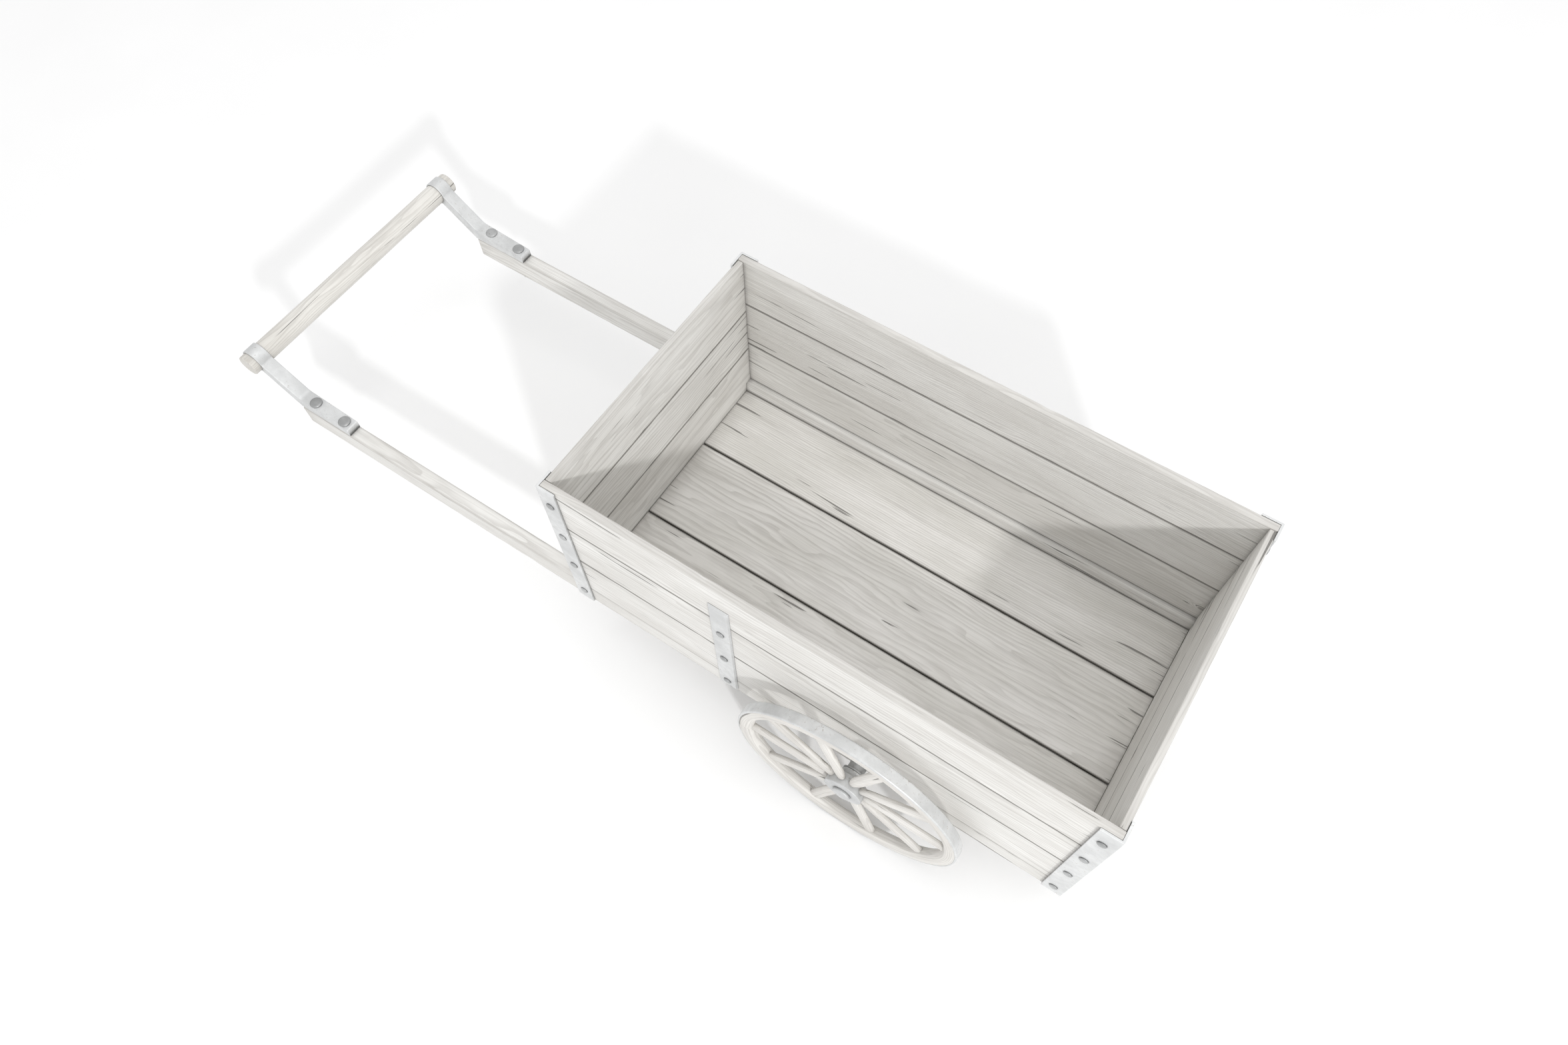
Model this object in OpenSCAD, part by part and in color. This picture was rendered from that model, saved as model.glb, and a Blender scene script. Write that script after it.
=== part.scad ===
// Two-wheeled wooden barrow: a plank tray on two long shafts, a round cross
// handle in forged eyes, and two ten-spoked wheels on stub axles.
// Millimetres. X runs forward from the handle to the tray's front end,
// Y to the left, Z up. The ground is Z = 0 and the origin is the middle of the
// footprint of the whole barrow.

/* [Tray] */
// outside length of the tray
box_len = 1000; // [800:1:1200]
// outside width of the tray
box_w = 567; // [450:1:700]
// height of the tray's rim above the ground
rim_z = 595.1; // [500:0.1:700]
// thickness of the side boards
side_t = 14.3; // [9:0.1:20]
// thickness of the end boards
end_t = 11.9; // [9:0.1:20]
// how far the end boards' tops stay below the rim
end_drop = 1.5; // [0:0.1:5]
// height of the joint between bottom and middle side boards
side_joint_low = 362.9; // [300:0.1:420]
// height of the joint between middle and top side boards
side_joint_high = 479.9; // [430:0.1:540]
// height of the joint between bottom and middle end boards
end_joint_low = 347.3; // [300:0.1:420]
// height of the joint between middle and top end boards
end_joint_high = 460.6; // [430:0.1:540]
// height of the floor's top face above the ground
floor_z = 223.1; // [200:0.1:240]
// thickness of the floor planks
floor_t = 12.4; // [9:0.1:20]
// side-to-side place of the floor joint on the right
floor_joint_right = -85.2; // [-150:0.1:-40]
// side-to-side place of the floor joint on the left
floor_joint_left = 99.7; // [40:0.1:150]
// width of the gap between two floor planks
floor_gap = 2.5; // [0.5:0.1:5]

/* [Shafts and bearers] */
// width of one shaft
shaft_w = 29.7; // [20:0.1:50]
// height of one shaft
shaft_h = 49.5; // [30:0.1:80]
// height of the shafts' underside above the ground
shaft_z = 195.6; // [150:0.1:250]
// how far the shafts reach behind the tray
shaft_back = 711; // [500:1:900]
// width of a floor bearer
bearer_w = 50; // [30:1:80]
// thickness of a floor bearer
bearer_t = 15; // [10:0.1:20]
// length of a bearer's tenon inside the shaft
tenon_l = 12; // [5:0.5:20]
// height of a bearer's tenon
tenon_h = 8; // [5:0.5:12]

/* [Handle] */
// radius of the round handle bar
bar_r = 21.9; // [15:0.1:30]
// how far the bar's axis is behind the tray
bar_back = 803.9; // [650:0.1:950]
// height of the bar's axis above the ground
bar_z = 328.7; // [280:0.1:400]
// half the bar's whole length
bar_half = 296.2; // [285:0.1:330]
// bevel on the bar's ends
bar_bevel = 2; // [0.5:0.1:5]
// outside radius of the eye around the bar
eye_r = 25.2; // [23:0.1:35]
// width of the handle bracket
bracket_w = 28.4; // [20:0.1:40]
// front end of the bracket's foot, behind the tray
foot_front = 579.6; // [500:0.1:650]
// thickness of the foot at its front end
foot_t = 17.5; // [8:0.1:25]
// taper of the foot's top face, in degrees
foot_slope = 5; // [0:0.5:10]
// slope of the bracket's arm, in degrees
arm_slope = 39; // [20:1:60]
// thickness of the bracket's arm
arm_t = 26.5; // [10:0.1:35]
// how far the arm's top face runs above the bar's axis
arm_rise = 18.6; // [5:0.1:22]
// radius of the inner bend between foot and arm
bend_r = 20; // [5:1:40]
// places of the two bolts, behind the tray
bolt_back = [600.5, 675]; // [520:0.5:700]
// radius of a handle bolt's shank
bolt_r = 6; // [4:0.5:8]
// length of a handle bolt under its head
bolt_l = 85; // [70:1:110]

/* [Iron fittings] */
// thickness of the corner brackets and straps
plate_t = 4.2; // [2:0.1:6]
// length of a corner bracket's flange along the tray's side
flange_side = 36; // [25:0.5:60]
// length of a corner bracket's flange along the tray's end
flange_end = 35; // [25:0.5:60]
// how far the brackets stay above the shafts' underside
bracket_lift = 1; // [0:0.5:10]
// heights of the four rows of screws
screw_rows = [229.1, 335.3, 441.4, 547.6]; // [210:0.1:580]
// distance of the screws from the tray's corner
screw_in = 15.5; // [10:0.1:25]
// distance of the end flange's screws from the middle of the tray
end_screw_y = 262; // [255:0.1:270]
// middle of the side straps, forward from the tray's rear end
strap_x = 340; // [200:1:800]
// width of a side strap
strap_w = 40; // [20:1:60]
// height of a side strap's top end
strap_top = 537.7; // [400:0.1:590]
// height of a side strap's bottom end
strap_bottom = 205.1; // [196:0.1:240]
// bevel round a side strap's edges
strap_bevel = 3; // [0:0.1:4]
// radius of a screw's head
screw_head_r = 7.6; // [5:0.1:10]
// height of a screw's head
screw_head_h = 3; // [2:0.1:5]
// radius of a screw's shank
screw_r = 2.5; // [1.5:0.1:4]
// length of a screw under its head
screw_l = 15; // [10:0.5:16]

/* [Wheels] */
// distance of the axles from the tray's rear end
axle_x = 615; // [500:1:800]
// radius of a wheel over its tyre
wheel_r = 218.5; // [150:0.5:300]
// middle of a wheel's rim, out from the middle of the tray
wheel_y = 329.2; // [310:0.1:360]
// width of the rim
rim_w = 22; // [15:0.5:40]
// thickness of the iron tyre
tyre_t = 4; // [2:0.5:8]
// inner end of the rim's flat side face, from the wheel's axis
felloe_flat_r = 198.5; // [180:0.5:210]
// innermost radius of the rounded felloe
felloe_in_r = 189.5; // [170:0.5:205]
// number of spokes
spokes = 10; // [6:1:14]
// half the width of a spoke
spoke_a = 11.7; // [6:0.1:15]
// half the thickness of a spoke
spoke_b = 5.85; // [4:0.05:10]
// radius from the wheel's axis where a spoke starts to narrow
spoke_neck_r = 62; // [45:1:90]
// half the width of a spoke where it meets the hub
spoke_root = 6.6; // [4:0.1:10]
// radius of the hub's drum
drum_r = 36.5; // [30:0.5:60]
// radius of the hub's inner barrel
barrel_r = 21.4; // [18:0.1:30]
// radius of the hub's cap
cap_r = 17; // [14:0.5:25]
// radius of the stub axle's journal
journal_r = 10; // [7:0.5:14]
// radius of the stub axle's boss
boss_r = 16; // [12:0.5:25]
// running clearance between journal and bush
run_gap = 0.05; // [0.02:0.01:0.1]

/* [Hidden] */
$fn = 64;

wood = [0.80, 0.77, 0.71];
wood_dark = [0.74, 0.70, 0.64];
iron = [0.62, 0.63, 0.64];
steel = [0.70, 0.71, 0.72];
bronze = [0.66, 0.52, 0.33];

half_w = box_w / 2;
in_w = half_w - shaft_w;             // inner face of a shaft
shaft_top = shaft_z + shaft_h;
wall_y = half_w - side_t;            // inner face of a side board
axle_z = wheel_r;
x_mid = (box_len + plate_t + screw_head_h - bar_back - eye_r) / 2;

// places of the floor bearers, forward from the tray's rear end
bearer_xs = [60, 337, 615, 940];

// the handle bracket's outline, in X and Z of the tray
fx = -foot_front;
foot_top0 = shaft_top + foot_t;
function foot_top(x) = foot_top0 + (fx - 4 - x) * tan(foot_slope);
arm_d = [cos(arm_slope), -sin(arm_slope)];
arm_n = [sin(arm_slope), cos(arm_slope)];
bar_c = [-bar_back, bar_z];
arm_hi = arm_n * bar_c + arm_rise;
arm_lo = arm_hi - arm_t;
// x where the arm's top face meets the foot's top face
tan_f = tan(foot_slope);
bend_x = (arm_hi - arm_n[1] * (foot_top0 + (fx - 4) * tan_f)) / (arm_n[0] - arm_n[1] * tan_f);
bend_p = [bend_x, foot_top(bend_x)];
heel_x = (arm_lo - arm_n[1] * shaft_top) / arm_n[0];
bend_u = -arm_d;
bend_v = [cos(foot_slope), -sin(foot_slope)];
bend_half = (180 - arm_slope + foot_slope) / 2;
bend_len = bend_r / tan(bend_half);
bend_mid = (bend_u + bend_v) / norm(bend_u + bend_v);
bend_c = bend_p + bend_mid * (bend_r / sin(bend_half));

seat_r = 12.7;
function bolt_seat(b) = foot_top(-b + seat_r);

// stations along a stub axle, out from the middle of the tray
shank_in = half_w - 24;
boss_out = half_w + 18.8;
washer_out = boss_out + 2.6;
hub_in = washer_out + 0.3;
drum_in = wheel_y - 11;
bush_out = 332.7;
journal_out = 333;
nut_in = 334.6;
nut_out = 341.6;
hub_out = 343.5;
cap_out = 349.5;

module place() translate([-x_mid, 0, 0]) children();
module left() mirror([0, 1, 0]) children();
// puts Z of its children along the axle, outwards to the right
module on_axle() place() translate([axle_x, 0, axle_z]) rotate([90, 0, 0]) children();
module box3(a, b) translate(a) cube(b - a);

// ---------- fasteners ----------

// a round-headed screw whose head stands on Z = 0
module screw() {
  translate([0, 0, -screw_l]) cylinder(r = screw_r, h = screw_l);
  cylinder(r = screw_head_r, h = screw_head_h / 2);
  translate([0, 0, screw_head_h / 2]) cylinder(r1 = screw_head_r, r2 = 5.2, h = screw_head_h / 2);
}
module screw_hole(r) translate([0, 0, -screw_l]) cylinder(r = r, h = screw_l);

// side flange and strap fasteners stand out to the right
module out_right(x, z) translate([x, -half_w - plate_t, z]) rotate([90, 0, 0]) children();
module out_front(y, z) translate([box_len + plate_t, y, z]) rotate([0, 90, 0]) children();
module out_rear(y, z) translate([-plate_t, y, z]) rotate([0, -90, 0]) children();

module side_flange_spots()
  for (z = screw_rows, x = [screw_in, box_len - screw_in]) out_right(x, z) children();
module strap_spots()
  for (i = [0:2]) out_right(strap_x, screw_rows[i]) children();
module end_flange_spots(s) {
  for (z = screw_rows) out_front(s * end_screw_y, z) children();
  for (i = [1:3]) out_rear(s * end_screw_y, screw_rows[i]) children();
}
module right_wood_holes() {
  side_flange_spots() screw_hole(screw_r);
  strap_spots() screw_hole(screw_r);
}
module end_wood_holes(s) end_flange_spots(s) screw_hole(screw_r);

// ---------- wood ----------

module shaft() place() difference() {
  box3([-shaft_back, -half_w, shaft_z], [box_len, -in_w, shaft_top]);
  for (x = bearer_xs)
    box3([x - bearer_w / 2, -in_w - tenon_l, shaft_z + 4], [x + bearer_w / 2, -in_w + 1, shaft_z + 4 + tenon_h]);
  for (b = bolt_back)
    translate([-b, -half_w + shaft_w / 2, shaft_z - 1]) cylinder(r = bolt_r, h = shaft_h + 2);
  translate([axle_x, -shank_in, axle_z]) rotate([90, 0, 0]) cylinder(r = 8, h = 40);
  right_wood_holes();
  end_wood_holes(-1);
}

module floor_plank(y0, y1) color(wood) place() difference() {
  box3([end_t, y0, floor_z - floor_t], [box_len - end_t, y1, floor_z]);
  floor_screw_spots() floor_screw();
}

module side_plank(z0, z1) place() difference() {
  box3([0, -half_w, z0], [box_len, -wall_y, z1]);
  right_wood_holes();
}

module end_plank(front, z0, z1) {
  x0 = front ? box_len - end_t : 0;
  place() difference() {
    union() {
      box3([x0, -wall_y, max(z0, shaft_top)], [x0 + end_t, wall_y, z1]);
      if (z0 < shaft_top)
        box3([x0, -in_w, z0], [x0 + end_t, in_w, shaft_top + 1]);
    }
    end_wood_holes(-1);
    end_wood_holes(1);
  }
}

module bearer(x) color(wood_dark) place() difference() {
  union() {
    box3([x - bearer_w / 2, -in_w, floor_z - floor_t - bearer_t], [x + bearer_w / 2, in_w, floor_z - floor_t]);
    box3([x - bearer_w / 2, -in_w - tenon_l, shaft_z + 4], [x + bearer_w / 2, in_w + tenon_l, shaft_z + 4 + tenon_h]);
  }
  floor_screw_spots() floor_screw();
}

// countersunk screws that hold the floor planks from below
module floor_screw() {
  cylinder(r1 = 4.4, r2 = 2.2, h = 2.6);
  cylinder(r = 2.2, h = 24);
}
module floor_screw_spots()
  for (x = bearer_xs, y = [-225, -115, -56, 70, 128, 225])
    translate([x + (y < 0 ? 10 : -10), y, floor_z - floor_t - bearer_t]) children();

module handle_bar() color(wood_dark) place() difference() {
  translate([-bar_back, 0, bar_z]) rotate([90, 0, 0]) union() {
    translate([0, 0, -bar_half + bar_bevel]) cylinder(r = bar_r, h = 2 * (bar_half - bar_bevel));
    translate([0, 0, bar_half - bar_bevel]) cylinder(r1 = bar_r, r2 = bar_r - bar_bevel, h = bar_bevel);
    translate([0, 0, -bar_half]) cylinder(r1 = bar_r - bar_bevel, r2 = bar_r, h = bar_bevel);
  }
  grub_spots() grub();
}

// ---------- handle bracket and its fasteners ----------

module grub() cylinder(r = 3, h = 9);
module grub_spots()
  for (s = [-1, 1]) translate([-bar_back, s * (in_w + bracket_w / 2), bar_z - eye_r - 0.8]) children();

module bracket_outline() difference() {
  union() {
    polygon([
      [fx, shaft_top], [fx, foot_top0 - 4], [fx - 1.2, foot_top0 - 1.2], [fx - 4, foot_top0],
      bend_p,
      bar_c + arm_n * arm_rise + arm_d * 3,
      bar_c + arm_n * (arm_rise - arm_t) + arm_d * 3,
      [heel_x, shaft_top]
    ]);
    translate(bar_c) circle(r = eye_r);
  }
  translate(bar_c) circle(r = bar_r);
}

// fills the inner bend between foot and arm
module bend_fillet() difference() {
  polygon([bend_p - bend_mid * 8, bend_p + bend_u * bend_len, bend_p + bend_v * bend_len]);
  translate(bend_c) circle(r = bend_r + 0.05);
}

module bracket_slab() translate([0, -in_w + 0.1, 0]) rotate([90, 0, 0]) linear_extrude(height = bracket_w) children();

module handle_bracket() color(iron) place() difference() {
  union() {
    bracket_slab() bracket_outline();
    bracket_slab() bend_fillet();
  }
  for (b = bolt_back) translate([-b, -half_w + shaft_w / 2, 0]) {
    translate([0, 0, shaft_top - 1]) cylinder(r = bolt_r, h = 60);
    translate([0, 0, bolt_seat(b)]) cylinder(r = seat_r, h = 20);
  }
  grub_spots() grub();
}

module bolt_spots() for (s = [-1, 1], b = bolt_back)
  translate([-b, s * (half_w - shaft_w / 2), 0]) {
    $seat = bolt_seat(b);
    children();
  }

module handle_bolts() color(steel) place() bolt_spots() translate([0, 0, $seat]) {
  translate([0, 0, -bolt_l]) cylinder(r = bolt_r, h = bolt_l);
  cylinder(r = 12.5, h = 1.8);
  translate([0, 0, 1.8]) cylinder(r1 = 12.5, r2 = 9.4, h = 2.4);
}
module handle_washers() color(steel) place() bolt_spots() difference() {
  translate([0, 0, shaft_z - 1.5]) cylinder(r = 10, h = 1.5);
  translate([0, 0, shaft_z - 3]) cylinder(r = bolt_r, h = 6);
}
module handle_nuts() color(steel) place() bolt_spots() difference() {
  translate([0, 0, shaft_z - 8.5]) cylinder(r = 10.39, h = 7, $fn = 6);
  translate([0, 0, shaft_z - 10]) cylinder(r = bolt_r, h = 12);
}
module handle_grub_screws() color(steel) place() grub_spots() grub();

// ---------- brackets and straps ----------

module corner_bracket(front) {
  z0 = shaft_z + bracket_lift;
  color(iron) place() difference() {
    if (front) union() {
      box3([box_len + plate_t - flange_side, -half_w - plate_t, z0], [box_len + plate_t, -half_w, rim_z]);
      box3([box_len, -half_w - plate_t, z0], [box_len + plate_t, -half_w - plate_t + flange_end, rim_z]);
    } else union() {
      box3([-plate_t, -half_w - plate_t, z0], [flange_side - plate_t, -half_w, rim_z]);
      box3([-plate_t, -half_w - plate_t, shaft_top + 0.9], [0, -half_w - plate_t + flange_end, rim_z]);
    }
    side_flange_spots() screw_hole(screw_r + 0.3);
    end_flange_spots(-1) screw_hole(screw_r + 0.3);
  }
}

module mid_strap() color(iron) place() difference() {
  intersection() {
    translate([strap_x - strap_w, 0, 0]) rotate([90, 0, 90]) linear_extrude(height = 2 * strap_w)
      polygon([[-half_w, strap_bottom], [-half_w, strap_top],
        [-half_w - plate_t, strap_top - strap_bevel], [-half_w - plate_t, strap_bottom + strap_bevel]]);
    translate([0, 0, strap_bottom - 5]) linear_extrude(height = strap_top - strap_bottom + 10)
      polygon([[strap_x - strap_w / 2, -half_w], [strap_x + strap_w / 2, -half_w],
        [strap_x + strap_w / 2 - strap_bevel, -half_w - plate_t],
        [strap_x - strap_w / 2 + strap_bevel, -half_w - plate_t]]);
  }
  strap_spots() screw_hole(screw_r + 0.3);
}

module side_flange_screws() color(steel) place() {
  side_flange_spots() screw();
  left() side_flange_spots() screw();
}
module end_flange_screws() color(steel) place() {
  end_flange_spots(-1) screw();
  end_flange_spots(1) screw();
}
module strap_screws() color(steel) place() {
  strap_spots() screw();
  left() strap_spots() screw();
}
module floor_screws() color(steel) place() floor_screw_spots() floor_screw();

// ---------- axle ----------

module stub_axle() color(steel) on_axle() {
  translate([0, 0, shank_in]) cylinder(r = 8, h = half_w - shank_in);
  translate([0, 0, half_w]) cylinder(r = boss_r, h = boss_out - half_w);
  translate([0, 0, boss_out]) cylinder(r = journal_r, h = journal_out - boss_out);
  translate([0, 0, journal_out]) cylinder(r = 7, h = nut_out + 0.9 - journal_out);
}
module ring(z0, z1, ri, ro, fn = 64) difference() {
  translate([0, 0, z0]) cylinder(r = ro, h = z1 - z0, $fn = fn);
  translate([0, 0, z0 - 1]) cylinder(r = ri, h = z1 - z0 + 2);
}
module both() { children(); left() children(); }
module thrust_washers() color(steel) both() on_axle() ring(boss_out, washer_out, journal_r, barrel_r);
module axle_nut_washers() color(steel) both() on_axle() ring(journal_out, nut_in, 7, 12.5);
module axle_nuts() color(steel) both() on_axle() ring(nut_in, nut_out, 7, 11.55, 6);

// ---------- wheel ----------

// oval section of a spoke, thin along X and wide along Y
function bulge(v) = sign(v) * pow(abs(v), 0.84);
module oval() polygon([for (i = [0:27]) let (t = i * 360 / 28) [spoke_b * bulge(cos(t)), spoke_a * bulge(sin(t))]]);

// one spoke along X, its middle at Z = 0
module spoke() {
  intersection() {
    translate([drum_r - 3, 0, 0]) rotate([0, 90, 0]) linear_extrude(height = 203 - drum_r) oval();
    translate([0, 0, -spoke_b - 1]) linear_extrude(height = 2 * spoke_b + 2)
      polygon([[drum_r - 4, -spoke_root], [spoke_neck_r, -spoke_a - 0.3], [210, -spoke_a - 0.3],
        [210, spoke_a + 0.3], [spoke_neck_r, spoke_a + 0.3], [drum_r - 4, spoke_root]]);
  }
  rotate([0, 90, 0]) {
    translate([0, 0, 25]) cylinder(r = 4.6, h = drum_r - 3 - 25);
    translate([0, 0, 200]) cylinder(r = 5, h = 9);
  }
}
module spoke_set() for (i = [0:spokes - 1]) rotate([0, 0, i * 360 / spokes]) spoke();

module wheel_spokes() color(wood) on_axle() translate([0, 0, wheel_y]) spoke_set();

module felloe() color(wood) on_axle() translate([0, 0, wheel_y]) difference() {
  rotate_extrude($fn = 180) polygon([
    [wheel_r - tyre_t, -rim_w / 2], [wheel_r - tyre_t, rim_w / 2],
    [felloe_flat_r, rim_w / 2], [felloe_flat_r - 2.6, rim_w / 2 - 0.6], [felloe_flat_r - 5.2, rim_w / 2 - 2.3],
    [felloe_flat_r - 7.6, rim_w / 2 - 5.2], [felloe_in_r, rim_w / 2 - 8.8],
    [felloe_in_r, 8.8 - rim_w / 2], [felloe_flat_r - 7.6, 5.2 - rim_w / 2],
    [felloe_flat_r - 5.2, 2.3 - rim_w / 2], [felloe_flat_r - 2.6, 0.6 - rim_w / 2], [felloe_flat_r, -rim_w / 2]]);
  spoke_set();
}

module tyre() color(iron) on_axle() translate([0, 0, wheel_y]) rotate_extrude($fn = 180)
  polygon([[wheel_r - tyre_t, -rim_w / 2], [wheel_r - 2.8, -rim_w / 2], [wheel_r - 0.8, -rim_w / 2 + 1.0],
    [wheel_r, -rim_w / 2 + 3], [wheel_r, rim_w / 2 - 3], [wheel_r - 0.8, rim_w / 2 - 1.0],
    [wheel_r - 2.8, rim_w / 2], [wheel_r - tyre_t, rim_w / 2]]);

module hub() color(iron) on_axle() difference() {
  rotate_extrude($fn = 96) polygon([
    [13, hub_in], [barrel_r - 1, hub_in], [barrel_r, hub_in + 1], [barrel_r, drum_in - 5],
    [barrel_r + 5, drum_in], [drum_r - 2, drum_in], [drum_r, drum_in + 2],
    [drum_r, hub_out - 2], [drum_r - 2, hub_out],
    [15, hub_out], [15, bush_out], [13, bush_out]]);
  translate([0, 0, wheel_y]) spoke_set();
}
module hub_bush() color(bronze) on_axle() ring(hub_in, bush_out, journal_r + run_gap, 13);
module hub_cap() color(iron) on_axle() difference() {
  union() {
    translate([0, 0, hub_out - 2]) cylinder(r = 15, h = 2);
    translate([0, 0, hub_out]) cylinder(r = cap_r, h = 3.5);
    translate([0, 0, hub_out + 3.5]) cylinder(r1 = cap_r, r2 = cap_r - 3, h = cap_out - hub_out - 3.5);
  }
  translate([0, 0, hub_out - 3]) cylinder(r = 13, h = 5.5);
}

// ---------- nodes ----------

module shaft_right() color(wood) shaft();
module shaft_left() color(wood) left() shaft();
module floor_plank_right() floor_plank(-in_w + 0.3, floor_joint_right - floor_gap / 2);
module floor_plank_middle() floor_plank(floor_joint_right + floor_gap / 2, floor_joint_left - floor_gap / 2);
module floor_plank_left() floor_plank(floor_joint_left + floor_gap / 2, in_w - 0.3);
module side_plank_right_bottom() color(wood) side_plank(shaft_top, side_joint_low);
module side_plank_right_middle() color(wood) side_plank(side_joint_low, side_joint_high);
module side_plank_right_top() color(wood) side_plank(side_joint_high, rim_z);
module side_plank_left_bottom() left() side_plank_right_bottom();
module side_plank_left_middle() left() side_plank_right_middle();
module side_plank_left_top() left() side_plank_right_top();
module end_plank_rear_bottom() color(wood) end_plank(false, floor_z - floor_t, end_joint_low);
module end_plank_rear_middle() color(wood) end_plank(false, end_joint_low, end_joint_high);
module end_plank_rear_top() color(wood) end_plank(false, end_joint_high, rim_z - end_drop);
module end_plank_front_bottom() color(wood) end_plank(true, floor_z - floor_t, end_joint_low);
module end_plank_front_middle() color(wood) end_plank(true, end_joint_low, end_joint_high);
module end_plank_front_top() color(wood) end_plank(true, end_joint_high, rim_z - end_drop);
module floor_bearer_rear() bearer(bearer_xs[0]);
module floor_bearer_middle() bearer(bearer_xs[1]);
module floor_bearer_axle() bearer(bearer_xs[2]);
module floor_bearer_front() bearer(bearer_xs[3]);
module handle_bracket_right() handle_bracket();
module handle_bracket_left() left() handle_bracket();
module corner_bracket_rear_right() corner_bracket(false);
module corner_bracket_rear_left() left() corner_bracket(false);
module corner_bracket_front_right() corner_bracket(true);
module corner_bracket_front_left() left() corner_bracket(true);
module mid_strap_right() mid_strap();
module mid_strap_left() left() mid_strap();
module stub_axle_right() stub_axle();
module stub_axle_left() left() stub_axle();
module hub_right() hub();
module hub_left() left() hub();
module spokes_right() wheel_spokes();
module spokes_left() left() wheel_spokes();
module felloe_right() felloe();
module felloe_left() left() felloe();
module tyre_right() tyre();
module tyre_left() left() tyre();
module hub_bush_right() hub_bush();
module hub_bush_left() left() hub_bush();
module hub_cap_right() hub_cap();
module hub_cap_left() left() hub_cap();

shaft_left();
shaft_right();
floor_plank_left();
floor_plank_middle();
floor_plank_right();
side_plank_left_bottom();
side_plank_left_middle();
side_plank_left_top();
side_plank_right_bottom();
side_plank_right_middle();
side_plank_right_top();
end_plank_rear_bottom();
end_plank_rear_middle();
end_plank_rear_top();
end_plank_front_bottom();
end_plank_front_middle();
end_plank_front_top();
floor_bearer_rear();
floor_bearer_middle();
floor_bearer_axle();
floor_bearer_front();
handle_bar();
handle_bracket_left();
handle_bracket_right();
handle_bolts();
handle_washers();
handle_nuts();
handle_grub_screws();
corner_bracket_rear_left();
corner_bracket_rear_right();
corner_bracket_front_left();
corner_bracket_front_right();
mid_strap_left();
mid_strap_right();
side_flange_screws();
end_flange_screws();
strap_screws();
floor_screws();
stub_axle_left();
stub_axle_right();
thrust_washers();
axle_nut_washers();
axle_nuts();
hub_left();
spokes_left();
felloe_left();
tyre_left();
hub_bush_left();
hub_cap_left();
hub_right();
spokes_right();
felloe_right();
tyre_right();
hub_bush_right();
hub_cap_right();
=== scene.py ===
import math
import random

import bpy
import bmesh
import numpy as np
from mathutils import Matrix, Vector, noise


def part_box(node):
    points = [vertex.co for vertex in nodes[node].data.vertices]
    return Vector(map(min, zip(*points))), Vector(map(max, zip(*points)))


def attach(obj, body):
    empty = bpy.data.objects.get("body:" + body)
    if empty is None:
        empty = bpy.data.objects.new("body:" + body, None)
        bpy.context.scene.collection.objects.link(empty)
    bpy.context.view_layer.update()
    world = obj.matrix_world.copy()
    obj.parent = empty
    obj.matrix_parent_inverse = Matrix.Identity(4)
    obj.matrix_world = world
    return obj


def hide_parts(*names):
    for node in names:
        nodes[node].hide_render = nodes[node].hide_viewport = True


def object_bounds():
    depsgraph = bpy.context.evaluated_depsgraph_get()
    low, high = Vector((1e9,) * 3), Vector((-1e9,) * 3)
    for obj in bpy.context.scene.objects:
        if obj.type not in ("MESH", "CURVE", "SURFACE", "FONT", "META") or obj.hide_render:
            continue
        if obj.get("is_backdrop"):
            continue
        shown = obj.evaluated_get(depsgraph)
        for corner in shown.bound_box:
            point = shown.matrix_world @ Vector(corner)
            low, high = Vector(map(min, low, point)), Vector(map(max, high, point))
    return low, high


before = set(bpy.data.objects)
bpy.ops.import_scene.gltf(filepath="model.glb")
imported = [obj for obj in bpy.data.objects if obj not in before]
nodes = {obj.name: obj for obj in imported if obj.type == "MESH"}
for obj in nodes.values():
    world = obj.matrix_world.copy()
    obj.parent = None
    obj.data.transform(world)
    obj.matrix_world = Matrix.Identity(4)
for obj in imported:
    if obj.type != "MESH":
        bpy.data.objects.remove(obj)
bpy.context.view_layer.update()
scene = bpy.context.scene
MM = 0.001


# ---------------------------------------------------------------- camera
def make_camera():
    az, el, roll = math.radians(34.394), math.radians(61.733), math.radians(-1.178)
    fw = Vector((-math.sin(az) * math.cos(el), math.cos(az) * math.cos(el), -math.sin(el)))
    right = Vector((math.cos(az), math.sin(az), 0.0))
    up = right.cross(fw)
    r2 = right * math.cos(roll) + up * math.sin(roll)
    u2 = r2.cross(fw)
    cam = bpy.data.cameras.new("camera")
    cam.sensor_fit = "HORIZONTAL"
    cam.sensor_width = 36.0
    cam.lens = 1633.35 / 2352 * 36.0
    cam.clip_start, cam.clip_end = 0.05, 60
    ob = bpy.data.objects.new("camera", cam)
    scene.collection.objects.link(ob)
    tray_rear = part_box("side_plank_right_top")[0].x
    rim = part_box("side_plank_right_top")[1].z
    m = Matrix((r2, u2, -fw)).transposed().to_4x4()
    m.translation = Vector((tray_rear + 0.808125, -0.783322, rim + 1.475818))
    ob.matrix_world = m
    scene.camera = ob
    return ob


camera = make_camera()


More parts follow.
